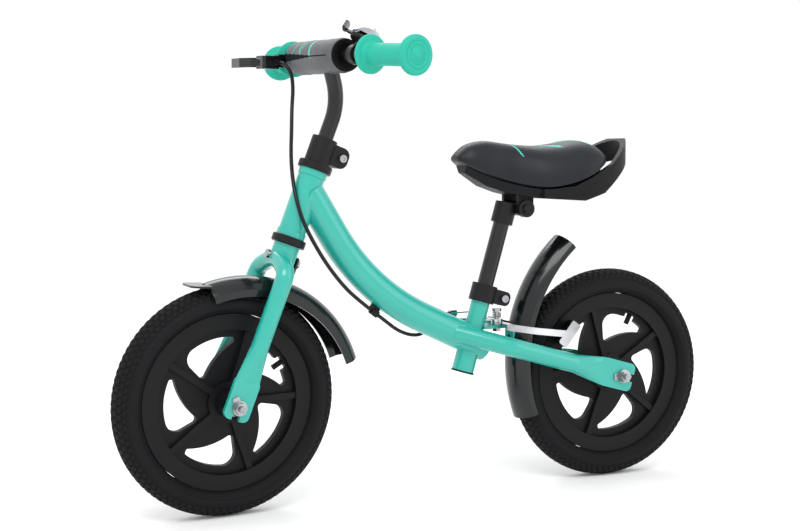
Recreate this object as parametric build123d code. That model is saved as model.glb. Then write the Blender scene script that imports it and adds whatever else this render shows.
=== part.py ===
from build123d import *

import math
import os

# ---------------------------------------------------------------------------------
# Child's balance bike.  Millimetres, +X forward, +Y to the rider's left, +Z up.
# The origin is on the ground, midway between the two wheels, on the centre plane.
# ---------------------------------------------------------------------------------

# Wheels and tyres
wheel_radius = 146.0
wheelbase = 554.0
tyre_half_width = 22.0
rim_radius = 112.0
rim_inner_radius = 92.0
rim_half_width = 12.0
rim_wall = 3.0
tyre_bead_depth = 7.0
web_half_thickness = 4.5
opening_outer_radius = 82.0
opening_inner_radius = 41.0
opening_span = 56.0
front_opening_phase = 10.0
rear_opening_phase = 43.0
spoke_count = 5
rib_width = 8.0
rib_half_thickness = 10.0
hub_radius = 18.0
hub_half_length = 36.0
hub_bearing_radius = 13.0
hub_bearing_width = 9.0
axle_radius = 5.0
axle_clearance = 0.05
axle_shoulder = 8.5
axle_beyond_nut = 0.5
axle_tip_radius = 4.2
axle_tip_length = 4.0
washer_thickness = 2.0
nut_height = 7.0
inner_tube_wall = 2.0
inner_tube_gap = 0.5
tube_space_radius = 15.0
tube_centre_radius = 127.0
bead_gap_half = 5.5
valve_radius = 3.6
valve_hole_clearance = 0.3
valve_turn = 20.0
valve_tip_radius = 74.0
valve_notch_width = 20.0
valve_notch_radius = 88.0

# Steering axis, fork and headset
head_angle = 21.4
fork_offset = 8.0
fork_length = 210.6
rest_steer = 6.0
head_tube_length = 90.0
head_tube_radius = 17.5
head_tube_wall = 2.5
cup_height = 10.0
cup_radius = 22.0
cup_skirt = 8.0
cup_gap = 0.4
steerer_radius = 12.0
bearing_wall = 5.0
bearing_height = 6.5
blade_radius = 11.3
blade_wall = 1.8
blade_spread = 44.0
blade_flat_half = 17.0
dropout_thickness = 6.0
dropout_side = 44.0
crown_drop = 14.0
crown_boss_radius = 17.0
crown_boss_drop = 3.0
flat_length = 52.0
flat_blend = 46.0

# Frame tubes
down_tube_radius = 20.0
down_tube_wall = 1.8
down_tube_bend = 290.0
seat_tube_radius = 12.7
seat_tube_bore = 11.0
seat_stub_radius = 15.0
seat_angle = 16.5
stay_radius = 12.7
stay_wall = 1.6
stay_spread = 44.0
stay_flat_half = 19.5

# Clamps
collar_wall = 4.6
stem_collar_height = 33.0
seat_collar_height = 24.0
collar_slit = 3.0
clamp_bolt_radius = 3.0

# Handlebar, grips and bell
stem_radius = 10.0
stem_clearance = 0.05
bar_radius = 10.0
bar_wall = 1.8
bar_forward = 35.0
bar_height = 452.4
stem_bend_height = 405.0
bar_bend_side = 96.0
bar_sweep = 11.0
bar_drop = 2.0
bar_end_length = 100.0
grip_start = 13.5
grip_length = 88.0
grip_radius = 13.5
grip_flange_radius = 23.8
grip_flange_thickness = 5.0
pad_radius = 21.5
pad_low_side = -86.0
pad_high_side = 52.0
bell_side = 82.0
bell_tilt = 35.0
bell_radius = 20.5
lever_side = -98.0

# Seat post and saddle
post_radius = 10.95
post_length = 200.0
post_top_height = 232.0
saddle_pivot_back = 18.0
clamp_disc_radius = 11.5

# Mudguards
guard_thickness = 2.4
guard_crown = 15.0
front_guard_half_width = 26.0
front_guard_depth = 24.0
rear_guard_half_width = 26.5
rear_guard_depth = 22.0
front_guard_centre = (254.0, 0, 138.0)
front_guard_radius = 165.5
front_guard_first = 72.0
front_guard_last = 161.0
guard_lip_length = 26.0
guard_lip_drop = 1.5
guard_tab_width = 18.0

# Rear brake
cable_radius = 2.5
wire_radius = 1.0
pivot_radius = 3.0
arm_side = 35.0
arm_height = 9.0
arm_thickness = 3.5
pad_gap = 2.5

running = 0.05
touch_gap = 0.4

os.makedirs("parts", exist_ok=True)

rear_axle = Vector(-wheelbase / 2, 0, wheel_radius)
front_axle = Vector(wheelbase / 2, 0, wheel_radius)
side = Vector(0, 1, 0)


def save(shape, name):
    export_step(shape, f"parts/{name}.step")


def slanted(angle):
    """Unit vectors up and forward of an axis that leans back from the vertical."""
    lean = math.radians(angle)
    up = Vector(-math.sin(lean), 0, math.cos(lean))
    forward = Vector(math.cos(lean), 0, math.sin(lean))
    return up, forward


steer_up, steer_forward = slanted(head_angle)
steer_foot = front_axle - steer_forward * fork_offset
steer_axis = Axis(tuple(steer_foot), tuple(steer_up))


def on_steer(height, forward=0.0, across=0.0):
    """A point beside the steering axis; height is counted from the axle's level."""
    return steer_foot + steer_up * height + steer_forward * forward + side * across


def steer_plane(height, forward=0.0, across=0.0):
    return Plane(
        origin=tuple(on_steer(height, forward, across)),
        x_dir=tuple(steer_forward),
        z_dir=tuple(steer_up),
    )


def steered(shape):
    """Turn a piece of the steering assembly to where the bars rest."""
    return shape.rotate(steer_axis, rest_steer)


def rod(start, end, radius, bore=0.0):
    """A round bar or tube between two points."""
    start, end = Vector(*start), Vector(*end)
    reach = end - start
    plane = Plane(origin=tuple(start), z_dir=tuple(reach.normalized()))
    section = Circle(radius)
    if bore:
        section -= Circle(bore)
    return extrude(plane * section, reach.length)


def cord_radii(points):
    """Bend radii for a cord's route: 0.45 of the shorter run over tan(half the turn)."""
    radii = []
    for before, corner, after in zip(points, points[1:], points[2:]):
        first = Vector(*corner) - Vector(*before)
        second = Vector(*after) - Vector(*corner)
        half_turn = math.radians(first.get_angle(second)) / 2
        radii.append(0.45 * min(first.length, second.length) / math.tan(half_turn))
    return radii


def swept(points, radius, bore=0.0, radii=None):
    """A round tube along straight runs joined by arcs."""
    path = FilletPolyline(*points, radius=radii or cord_radii(points))
    plane = Plane(origin=path @ 0, z_dir=path % 0)
    tube = sweep(plane * Circle(radius), path=path)
    if bore:
        tube -= sweep(plane * Circle(bore), path=path)
    return tube


# ---------------------------------------------------------------------------------
# Wheels
# ---------------------------------------------------------------------------------

def wheel_frame(axle):
    """A plane whose Z is the axle; local X points back and local Y points up."""
    return Plane(origin=tuple(axle), x_dir=(-1, 0, 0), z_dir=(0, 1, 0))


def at_angle(radius, angle):
    turn = math.radians(angle)
    return (radius * math.cos(turn), radius * math.sin(turn))


def web_opening(phase):
    """One comma-shaped opening: a tip at the rim and a broad end near the hub."""
    outer = opening_outer_radius
    inner = opening_inner_radius
    tip = at_angle(outer, phase + 1.5)
    tip_inside = at_angle(outer - 6, phase)
    broad = at_angle(outer, phase + opening_span - 3)
    corner = at_angle(inner, phase + opening_span - 1)
    rim_edge = ThreePointArc(tip, at_angle(outer, phase + opening_span / 2), broad)
    end_edge = Line(broad, corner)
    bend = Vector(*at_angle(56.0, phase + opening_span * 0.42))
    hub_edge = ThreePointArc(corner, (bend.X, bend.Y), tip_inside)
    tip_edge = Line(tip_inside, tip)
    outline = make_face([rim_edge, end_edge, hub_edge, tip_edge])
    broad_vertex = outline.vertices().sort_by_distance((*broad, 0))[0]
    outline = fillet(broad_vertex, 15)
    corner_vertex = outline.vertices().sort_by_distance((*corner, 0))[0]
    outline = fillet(corner_vertex, 5)
    tip_vertices = outline.vertices().sort_by_distance((*tip, 0))[:2]
    return fillet(tip_vertices, 2.2)


def wheel_rim(axle, phase):
    """Moulded wheel: rim channel, five-spoke web, ribs and hub in one piece."""
    channel = rim_radius - tyre_bead_depth
    rim = Cylinder(rim_radius, 2 * rim_half_width)
    rim -= Cylinder(rim_inner_radius, 2 * rim_half_width)
    well = Cylinder(rim_radius + 1, 2 * (rim_half_width - rim_wall))
    well -= Cylinder(channel, 2 * (rim_half_width - rim_wall))
    rim -= well
    web = Cylinder(rim_inner_radius + 1, 2 * web_half_thickness)
    step = 360 / spoke_count
    for index in range(spoke_count):
        opening = web_opening(phase + step * index)
        web -= extrude(opening, web_half_thickness + 1, both=True)
    ribs = Part()
    for index in range(spoke_count):
        angle = phase + step * index + opening_span + 6.5
        reach = rim_inner_radius - hub_radius + 4
        bar = Pos(hub_radius - 2 + reach / 2, 0, 0) * Box(reach, rib_width, 2 * rib_half_thickness)
        ribs += Rot(0, 0, angle) * bar
    hub = Cylinder(hub_radius, 2 * hub_half_length)
    hub_boss = Cylinder(hub_radius + 8, 2 * rib_half_thickness)
    wheel = rim + web + ribs + hub + hub_boss
    wheel -= Cylinder(axle_radius + 2, 2 * hub_half_length)
    for end in (-1, 1):
        pocket = Cylinder(hub_bearing_radius, hub_bearing_width)
        wheel -= Pos(0, 0, end * (hub_half_length - hub_bearing_width / 2)) * pocket
    valve_place = Rot(0, 0, phase + valve_turn) * Pos(rim_inner_radius, 0, 0)
    hole_radius = valve_radius + valve_hole_clearance
    wheel -= valve_place * Rot(0, 90, 0) * Cylinder(hole_radius, 40)
    notch_depth = valve_notch_radius - opening_outer_radius + 4
    notch_place = Rot(0, 0, phase + valve_turn) * Pos(valve_notch_radius - notch_depth / 2, 0, 0)
    wheel -= notch_place * Box(notch_depth, valve_notch_width, 2 * rim_half_width)
    return wheel_frame(axle) * wheel


def tyre_outline():
    """Closed tyre section, drawn on the radial plane."""
    half = tyre_half_width
    top = wheel_radius
    bead = rim_half_width - rim_wall
    shoulder = rim_radius + 13
    base = rim_radius - tyre_bead_depth
    right = [(base, bead), (rim_radius, bead), (rim_radius, bead + 2)]
    foot = Polyline(*right)
    wall = ThreePointArc((rim_radius, bead + 2), (rim_radius + 5, half - 3), (shoulder, half))
    tread = ThreePointArc((shoulder, half), (top, 0), (shoulder, -half))
    wall_back = ThreePointArc((shoulder, -half), (rim_radius + 5, 3 - half), (rim_radius, -bead - 2))
    foot_back = Polyline((rim_radius, -bead - 2), (rim_radius, -bead), (base, -bead))
    close = Line((base, -bead), (base, bead))
    return make_face([*foot.edges(), wall, tread, wall_back, *foot_back.edges(), close])


def tyre(axle):
    """Rubber tyre: a thick C-section whose bead sits in the rim channel."""
    section_plane = Plane(origin=(0, 0, 0), x_dir=(1, 0, 0), z_dir=(0, -1, 0))
    ring = revolve(section_plane * tyre_outline(), Axis.Z)
    ring -= Torus(tube_centre_radius, tube_space_radius)
    bead_gap = Cylinder(tube_centre_radius, 2 * bead_gap_half)
    ring -= bead_gap
    return wheel_frame(axle) * ring


def inner_tube(axle, phase):
    """Inflated tube with its bonded valve, which comes out through the rim."""
    outer = tube_space_radius - inner_tube_gap
    tube = Torus(tube_centre_radius, outer)
    tube -= Torus(tube_centre_radius, outer - inner_tube_wall)
    valve_start = tube_centre_radius - outer + inner_tube_wall / 2
    middle = (valve_start + valve_tip_radius) / 2
    stem = Rot(0, 0, phase + valve_turn) * Pos(middle, 0, 0)
    tube += stem * Rot(0, 90, 0) * Cylinder(valve_radius, valve_start - valve_tip_radius)
    return wheel_frame(axle) * tube


def hub_bearings(axle):
    """Two sealed ball bearings, one in each end of the hub."""
    rings = Part()
    race = Cylinder(hub_bearing_radius, hub_bearing_width)
    race -= Cylinder(axle_radius + axle_clearance, hub_bearing_width)
    for end in (-1, 1):
        rings += Pos(0, 0, end * (hub_half_length - hub_bearing_width / 2)) * race
    return wheel_frame(axle) * rings


def axle_shaft(axle):
    """Threaded axle: a shoulder inside each dropout and a turned-down tip at each end."""
    inner_face = dropout_side - dropout_thickness / 2
    nut_face = dropout_side + dropout_thickness / 2 + washer_thickness + nut_height
    shaft_half = nut_face + axle_beyond_nut
    shaft = Cylinder(axle_radius, 2 * shaft_half)
    shaft += Cylinder(axle_tip_radius, 2 * (shaft_half + axle_tip_length))
    cone_start = hub_half_length + touch_gap
    for end in (-1, 1):
        cone = Cylinder(axle_shoulder, inner_face - cone_start)
        shaft += Pos(0, 0, end * (inner_face + cone_start) / 2) * cone
    return wheel_frame(axle) * shaft


def axle_washers(axle, turn):
    """Teardrop retention washers on the outside of the two dropouts."""
    face = dropout_side + dropout_thickness / 2
    washers = Part()
    body = Cylinder(9.5, washer_thickness)
    body += Rot(0, 0, turn) * Pos(9, 0, 0) * Box(12, 9, washer_thickness)
    body -= Cylinder(axle_radius, washer_thickness)
    for end in (-1, 1):
        washers += Pos(0, 0, end * (face + washer_thickness / 2)) * body
    return wheel_frame(axle) * washers


def axle_nuts(axle):
    """Flanged hexagon nuts outside the washers."""
    face = dropout_side + dropout_thickness / 2 + washer_thickness
    nuts = Part()
    for end in (-1, 1):
        nut = extrude(RegularPolygon(8.0, 6), nut_height)
        nut += Cylinder(9.2, 1.6, align=(Align.CENTER, Align.CENTER, Align.MIN))
        nut -= Cylinder(axle_radius, 20)
        turned = nut if end == 1 else Rot(180, 0, 0) * nut
        nuts += Pos(0, 0, end * face) * turned
    return wheel_frame(axle) * nuts


front_pieces = {
    "front_rim": wheel_rim(front_axle, front_opening_phase),
    "front_tyre": tyre(front_axle),
    "front_inner_tube": inner_tube(front_axle, front_opening_phase),
    "front_bearings": hub_bearings(front_axle),
    "front_axle": axle_shaft(front_axle),
    "front_axle_washers": axle_washers(front_axle, 90 + head_angle),
    "front_axle_nuts": axle_nuts(front_axle),
}
for name, shape in front_pieces.items():
    save(steered(shape), name)

save(wheel_rim(rear_axle, rear_opening_phase), "rear_rim")
save(tyre(rear_axle), "rear_tyre")
save(inner_tube(rear_axle, rear_opening_phase), "rear_inner_tube")
save(hub_bearings(rear_axle), "rear_bearings")
save(axle_shaft(rear_axle), "rear_axle")
save(axle_washers(rear_axle, 180), "rear_axle_washers")
save(axle_nuts(rear_axle), "rear_axle_nuts")

# ---------------------------------------------------------------------------------
# Headset, fork and front mudguard
# ---------------------------------------------------------------------------------

cup_low = fork_length + cup_gap
tube_low = cup_low + cup_height
tube_high = tube_low + head_tube_length
cup_high = tube_high + cup_height
collar_low = cup_high + cup_gap
collar_high = collar_low + stem_collar_height
head_tube_bore = head_tube_radius - head_tube_wall
bearing_bore = steerer_radius + running
bearing_outer = bearing_bore + bearing_wall
z_up = (Align.CENTER, Align.CENTER, Align.MIN)
arch_height = fork_length - 21.6
steerer_low = arch_height + 4
blade_top = fork_length - 60
guard_bolt_height = fork_length - 18.6
tab_low = 157.0


def head_tube():
    tube = Cylinder(head_tube_radius, head_tube_length, align=z_up)
    for height in (0, head_tube_length - 8):
        tube += Pos(0, 0, height) * Cylinder(head_tube_radius + 1.2, 8, align=z_up)
    tube -= Cylinder(head_tube_bore, head_tube_length, align=z_up)
    return steer_plane(tube_low) * tube


def headset_cup():
    """Pressed cup, drawn with its open bearing pocket facing down."""
    cup = Cylinder(cup_radius, cup_height, align=z_up)
    cup += Pos(0, 0, cup_height) * Cylinder(head_tube_bore, cup_skirt, align=z_up)
    cup -= Cylinder(steerer_radius + 1, cup_height + cup_skirt, align=z_up)
    cup -= Cylinder(bearing_outer, bearing_height, align=z_up)
    rim = cup.edges().filter_by(GeomType.CIRCLE).group_by(SortBy.RADIUS)[-1]
    return chamfer(rim, 1.0)


def headset_cups():
    lower = steer_plane(cup_low) * headset_cup()
    upper = steer_plane(cup_high) * (Rot(180, 0, 0) * headset_cup())
    return lower + upper


def headset_bearings():
    race = Cylinder(bearing_outer, bearing_height, align=z_up)
    race -= Cylinder(bearing_bore, bearing_height, align=z_up)
    lower = steer_plane(cup_low) * race
    upper = steer_plane(cup_high - bearing_height) * race
    return lower + upper


def fork_crown():
    """Arched unicrown with the boss that the lower bearing sits on."""
    shoulder = arch_height - crown_drop
    half_top = blade_spread * 0.3
    arch_points = [
        (-blade_spread, blade_top),
        (-blade_spread, shoulder),
        (-half_top, arch_height),
        (half_top, arch_height),
        (blade_spread, shoulder),
        (blade_spread, blade_top),
    ]
    points = [tuple(on_steer(height, fork_offset, across)) for across, height in arch_points]
    arch = swept(points, blade_radius)
    boss_low = arch_height - crown_boss_drop
    boss = Cylinder(crown_boss_radius, fork_length - boss_low, align=z_up)
    crown = arch + steer_plane(boss_low) * boss
    crown -= steer_plane(steerer_low) * Cylinder(steerer_radius, 60, align=z_up)
    return crown - guard_bolt_bore()


def mirrored(shape):
    """The same piece on the other side of the bike."""
    return mirror(shape, Plane.XZ)


def flattened_end(length, round_radius, flat_half, plate_half):
    """A round tube pressed flat: along local Z, the flat ends across local Y."""
    middle_half = (round_radius + plate_half) / 2
    sections = [
        Circle(round_radius),
        Pos(0, 0, length * 0.5) * Ellipse((round_radius + flat_half) / 2, middle_half),
        Pos(0, 0, length) * Ellipse(flat_half, plate_half),
    ]
    return loft([section.face() for section in sections])


def fork_blade():
    """Left blade: a tube, pressed flat below, with an axle slot that opens down."""
    top = blade_top
    across = blade_spread
    flat_top = flat_length - 20
    press_top = flat_top + flat_blend
    plane = steer_plane(press_top, fork_offset, across)
    tube = Cylinder(blade_radius, top - press_top, align=z_up)
    tube -= Cylinder(blade_radius - blade_wall, top - press_top, align=z_up)
    half = dropout_thickness / 2
    pressed = flattened_end(flat_blend, blade_radius, blade_flat_half, half)
    tube += Rot(180, 0, 0) * pressed
    plate_height = flat_top + 22
    plate = Box(2 * blade_flat_half, dropout_thickness, plate_height)
    plate = fillet(plate.edges().filter_by(Axis.Y), 8)
    tube += Pos(0, 0, flat_top - press_top - plate_height / 2 + 6) * plate
    blade = plane * tube
    slot = Cylinder(axle_radius + 0.2, 30)
    slot += Pos(0, -20, 0) * Box(2 * axle_radius + 0.4, 40, 30)
    slot_plane = Plane(
        origin=tuple(on_steer(0, fork_offset, across)),
        x_dir=tuple(steer_forward),
        z_dir=(0, -1, 0),
    )
    return blade - slot_plane * slot


def guard_bolt_bore():
    return steer_plane(guard_bolt_height) * Rot(0, 90, 0) * Cylinder(clamp_bolt_radius, 90)


def steerer():
    """Fork steerer tube with the slit that lets the collar squeeze the stem."""
    length = collar_high - steerer_low
    tube = Cylinder(steerer_radius, length, align=z_up)
    tube -= Cylinder(stem_radius + stem_clearance, length, align=z_up)
    slit_height = stem_collar_height - 3
    slit = Pos(-steerer_radius, 0, length - slit_height / 2)
    tube -= slit * Box(2 * steerer_radius, collar_slit, slit_height)
    return steer_plane(steerer_low) * tube - guard_bolt_bore()


def clamp_collar(bore, height, ear_reach, ear_half):
    """Split clamp: a ring with two ears behind it and a cross hole for the bolt."""
    outer = bore + collar_wall
    ring = Cylinder(outer, height, align=z_up)
    ear_height = height * 0.82
    ears = Pos(-ear_reach / 2, 0, height / 2) * Box(ear_reach, 2 * ear_half, ear_height)
    ears = fillet(ears.edges().filter_by(Axis.Y).group_by(Axis.X)[0], ear_height * 0.38)
    collar = ring + ears
    collar -= Cylinder(bore, height, align=z_up)
    collar -= Pos(-ear_reach / 2 - 2, 0, height / 2) * Box(ear_reach + 4, collar_slit, height)
    bolt_place = Pos(-(ear_reach + outer) / 2, 0, height / 2)
    collar -= bolt_place * Rot(90, 0, 0) * Cylinder(clamp_bolt_radius, 4 * ear_half)
    return collar


def clamp_bolt(bore, height, ear_reach, ear_half):
    """Socket-head bolt and nut through the ears of a clamp."""
    outer = bore + collar_wall
    shank = Cylinder(clamp_bolt_radius, 2 * ear_half + 8)
    head = Cylinder(5.0, 5.0) - Pos(0, 0, 2.5) * extrude(RegularPolygon(2.8, 6), 3, both=True)
    bolt = shank + Pos(0, 0, ear_half + 2.5) * head
    nut = extrude(RegularPolygon(5.6, 6), 4.5)
    nut -= Cylinder(clamp_bolt_radius, 20)
    bolt += Pos(0, 0, -ear_half - 4.5) * nut
    return Pos(-(ear_reach + outer) / 2, 0, height / 2) * Rot(-90, 0, 0) * bolt


stem_collar_size = (steerer_radius, stem_collar_height, 36.0, 11.0)
seat_collar_size = (seat_tube_radius, seat_collar_height, 37.0, 11.0)


def arched_guard(centre, outer, half_width, depth, first, last):
    """Deep U-section mudguard turned about an axis across the bike."""
    inner = guard_thickness
    low = outer - depth
    shoulder = outer - guard_crown
    half = half_width
    outside = [
        Line((low, half), (shoulder, half)),
        ThreePointArc((shoulder, half), (outer, 0), (shoulder, -half)),
        Line((shoulder, -half), (low, -half)),
        Line((low, -half), (low, inner - half)),
        Line((low, inner - half), (shoulder, inner - half)),
        ThreePointArc((shoulder, inner - half), (outer - inner, 0), (shoulder, half - inner)),
        Line((shoulder, half - inner), (low, half - inner)),
        Line((low, half - inner), (low, half)),
    ]
    section = make_face(outside)
    axis_place = Plane(origin=centre, x_dir=(1, 0, 0), z_dir=(0, -1, 0))
    radial = Plane(origin=(0, 0, 0), x_dir=(1, 0, 0), z_dir=(0, -1, 0))
    swept_guard = revolve(radial * section, Axis.Z, last - first)
    return axis_place * (Rot(0, 0, first) * swept_guard)


def front_guard():
    """Front mudguard on the fork crown, with a turned-up lip at the nose."""
    size = (front_guard_centre, front_guard_radius, front_guard_half_width, front_guard_depth)
    guard = arched_guard(*size, front_guard_first, front_guard_last)
    nose = math.radians(front_guard_first)
    lip_x = front_guard_centre[0] + front_guard_radius * math.cos(nose)
    lip_z = front_guard_centre[2] + front_guard_radius * math.sin(nose)
    lip = Box(guard_lip_length, 2 * front_guard_half_width - 8, guard_thickness)
    lip = fillet(lip.edges().filter_by(Axis.Z).group_by(Axis.X)[-1], 10)
    guard += Pos(lip_x + 9, 0, lip_z - guard_lip_drop) * Rot(0, -3, 0) * lip
    tab_height = guard_bolt_height + 8 - tab_low
    tab = Box(guard_thickness, guard_tab_width, tab_height, align=z_up)
    tab = fillet(tab.edges().filter_by(Axis.X).group_by(Axis.Z)[-1], 6)
    tab_plane = steer_plane(tab_low, -crown_boss_radius - guard_thickness / 2)
    guard += tab_plane * tab
    return guard - guard_bolt_bore()


def front_guard_bolt():
    """Bolt through the crown and the mudguard's tab, with a nut behind."""
    plane = steer_plane(guard_bolt_height)
    front = fork_offset + blade_radius
    back = crown_boss_radius + guard_thickness
    length = front + back + 8
    bolt = Pos((front - back) / 2, 0, 0) * Rot(0, 90, 0) * Cylinder(clamp_bolt_radius, length)
    bolt += Pos(front + 2, 0, 0) * Rot(0, 90, 0) * Cylinder(5.5, 4)
    bolt += Pos(-back - 4.5, 0, 0) * Rot(0, 90, 0) * extrude(RegularPolygon(5.6, 6), 4.5)
    return plane * bolt


save(head_tube(), "head_tube")
save(headset_cups(), "headset_cups")
save(headset_bearings(), "headset_bearings")
save(steered(fork_crown()), "fork_crown")
save(steered(fork_blade()), "fork_blade_left")
save(steered(mirrored(fork_blade())), "fork_blade_right")
save(steered(steerer()), "fork_steerer")
save(steered(steer_plane(collar_low) * clamp_collar(*stem_collar_size)), "stem_clamp")
save(steered(steer_plane(collar_low) * clamp_bolt(*stem_collar_size)), "stem_clamp_bolt")
save(steered(front_guard()), "front_mudguard")
save(steered(front_guard_bolt()), "front_mudguard_bolt")

# ---------------------------------------------------------------------------------
# Frame: main tube, seat tube, chain stays and fittings
# ---------------------------------------------------------------------------------

seat_up, seat_forward = slanted(seat_angle)
seat_foot = Vector(-53.5, 0, 162.0)
seat_tube_top = 120.0
seat_stub_top = 42.0
main_start = (165.0, 0, 407.5)
main_corner = (86.2, 0, 276.0)
main_end = (-86.0, 0, 193.1)
stay_angle = 16.2
stay_root = (-38.0, 9.0)
stay_bend_x = -104.0
stay_bend_radius = 40.0


def seat_plane(height, forward=0.0):
    origin = seat_foot + seat_up * height + seat_forward * forward
    return Plane(origin=tuple(origin), x_dir=tuple(seat_forward), z_dir=tuple(seat_up))


def seat_tube_solid(bored=True):
    tube = Cylinder(seat_stub_radius, seat_stub_top, align=z_up)
    tube += Cylinder(seat_tube_radius, seat_tube_top, align=z_up)
    if bored:
        tube -= Cylinder(seat_tube_bore, seat_tube_top, align=z_up)
        slit_height = seat_collar_height - 2
        slit = Pos(-seat_tube_radius, 0, seat_tube_top - slit_height / 2)
        tube -= slit * Box(2 * seat_tube_radius, collar_slit, slit_height)
    return seat_plane(0) * tube


def seat_tube_plug():
    plug = Cylinder(seat_stub_radius + 0.6, 2.4)
    plug = Pos(0, 0, -1.2) * plug
    plug += Pos(0, 0, 5) * (Cylinder(seat_tube_bore, 10) - Cylinder(seat_tube_bore - 2, 10))
    return seat_plane(0) * plug


def down_tube():
    path_points = [main_start, main_corner, main_end]
    bend = [down_tube_bend]
    tube = swept(path_points, down_tube_radius, down_tube_radius - down_tube_wall, bend)
    tube -= seat_tube_solid(bored=False)
    tube -= steer_plane(tube_low - 20) * Cylinder(head_tube_radius, 200, align=z_up)
    fore = steer_plane(tube_low - 60, 150) * Box(300, 200, 500)
    return max((tube - fore).solids(), key=lambda solid: solid.volume)


def down_tube_outline():
    return swept([main_start, main_corner, main_end], down_tube_radius, 0.0, [down_tube_bend])


def chainstay():
    """Left stay: a bent tube from the main tube, pressed flat round the rear axle."""
    flat_start = -wheelbase / 2 + 30
    press_start = flat_start + flat_blend
    slope = math.tan(math.radians(stay_angle))
    fall = Vector(-1, 0, -slope).normalized()
    axle_height = wheel_radius

    def on_stay(x, spread):
        return Vector(x, spread, axle_height + (x + wheelbase / 2) * slope)

    press_point = on_stay(press_start, dropout_side)
    points = [on_stay(*stay_root), on_stay(stay_bend_x, stay_spread), press_point]
    bend = [stay_bend_radius]
    tube = swept([tuple(p) for p in points], stay_radius, stay_radius - stay_wall, bend)
    rise = fall.cross(side)
    plane = Plane(origin=tuple(press_point), x_dir=tuple(rise), z_dir=tuple(fall))
    half = dropout_thickness / 2
    blend = flat_blend / math.cos(math.radians(stay_angle))
    tube += plane * flattened_end(blend, stay_radius, stay_flat_half, half)
    flat_point = on_stay(flat_start, dropout_side)
    plate_plane = Plane(origin=tuple(flat_point), x_dir=tuple(rise), z_dir=tuple(fall))
    plate = Box(2 * stay_flat_half, dropout_thickness, flat_length + 2)
    plate = fillet(plate.edges().filter_by(Axis.Y), 8)
    tube += plate_plane * (Pos(0, 0, flat_length / 2 - 5) * plate)
    slot = Cylinder(axle_radius + 0.2, 30)
    slot += Pos(20, 0, 0) * Box(40, 2 * axle_radius + 0.4, 30)
    slot_plane = Plane(
        origin=(rear_axle.X, dropout_side, rear_axle.Z), x_dir=tuple(fall), z_dir=(0, -1, 0)
    )
    tube -= slot_plane * slot
    tube -= down_tube_outline()
    tube -= seat_tube_solid(bored=False)
    return max(tube.solids(), key=lambda solid: solid.volume)


bridge_height = 222.0
bridge_front_x = -80.0
bridge_width = 26.0
bridge_thickness = 4.0
pivot_x = -105.0
guard_centre = (-350.0, 0, 169.5)
guard_radius = 229.0
rear_guard_first = -20.0
rear_guard_last = 48.0


def brake_bridge():
    """Welded plate behind the seat tube that holds the caliper and the mudguard."""
    rise = math.asin((bridge_height - guard_centre[2]) / guard_radius)
    guard_face = guard_centre[0] + guard_radius * math.cos(rise)
    reach = bridge_front_x - guard_face
    plate = Box(reach, bridge_width, bridge_thickness)
    plate = Pos(bridge_front_x - reach / 2, 0, bridge_height - bridge_thickness / 2) * plate
    plate += Pos(guard_face + 1.5, 0, bridge_height - 12) * Box(3, 24, 22)
    plate -= seat_tube_solid(bored=False)
    plate -= Pos(pivot_x, 0, bridge_height) * Cylinder(pivot_radius, 20)
    guard_space = arched_guard(guard_centre, guard_radius, rear_guard_half_width, 40, -40, 60)
    plate -= guard_space
    plate -= down_tube_outline()
    return max(plate.solids(), key=lambda solid: solid.volume)


def guard_end_plate(centre, outer, half_width, depth, angle):
    """Flat plate that closes one end of a mudguard."""
    low = outer - depth
    shoulder = outer - guard_crown
    outline = [
        Line((low, half_width), (shoulder, half_width)),
        ThreePointArc((shoulder, half_width), (outer, 0), (shoulder, -half_width)),
        Line((shoulder, -half_width), (low, -half_width)),
        Line((low, -half_width), (low, half_width)),
    ]
    radial = Plane(origin=(0, 0, 0), x_dir=(1, 0, 0), z_dir=(0, -1, 0))
    plate = extrude(radial * make_face(outline), -guard_thickness)
    place = Plane(origin=centre, x_dir=(1, 0, 0), z_dir=(0, -1, 0))
    return place * (Rot(0, 0, angle) * plate)


def rear_guard():
    """Rear mudguard on the brake bridge, closed at its upper end."""
    size = (guard_centre, guard_radius, rear_guard_half_width, rear_guard_depth)
    guard = arched_guard(*size, rear_guard_first, rear_guard_last)
    return guard + guard_end_plate(*size, rear_guard_last)


save(down_tube(), "down_tube")
save(seat_tube_solid(), "seat_tube")
save(seat_tube_plug(), "seat_tube_plug")
save(chainstay(), "chainstay_left")
save(mirrored(chainstay()), "chainstay_right")
save(brake_bridge(), "brake_bridge")
save(rear_guard(), "rear_mudguard")
save(seat_plane(seat_tube_top - seat_collar_height) * clamp_collar(*seat_collar_size), "seat_clamp")
save(seat_plane(seat_tube_top - seat_collar_height) * clamp_bolt(*seat_collar_size), "seat_clamp_bolt")

# ---------------------------------------------------------------------------------
# Handlebar, grips, pad, bell and brake lever
# ---------------------------------------------------------------------------------

bar_centre = on_steer(bar_height, bar_forward)
sweep_turn = math.radians(bar_sweep)
drop_turn = math.radians(bar_drop)
bar_end_direction = Vector(
    -math.sin(sweep_turn) * math.cos(drop_turn),
    math.cos(sweep_turn) * math.cos(drop_turn),
    -math.sin(drop_turn),
)


def stem_solid(radius, bore=0.0):
    bottom = steerer_low + 30
    points = [on_steer(bottom), on_steer(stem_bend_height), bar_centre]
    return swept([tuple(p) for p in points], radius, bore, [80])


def bar_solid(radius, bore=0.0):
    bend = bar_centre + side * bar_bend_side
    end = bend + bar_end_direction * bar_end_length
    left = [end, bend]
    right = [Vector(p.X, -p.Y, p.Z) for p in reversed(left)]
    return swept([tuple(p) for p in left + right], radius, bore, [60, 60])


def stem_tube():
    return stem_solid(stem_radius, stem_radius - bar_wall) - bar_solid(bar_radius)


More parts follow.
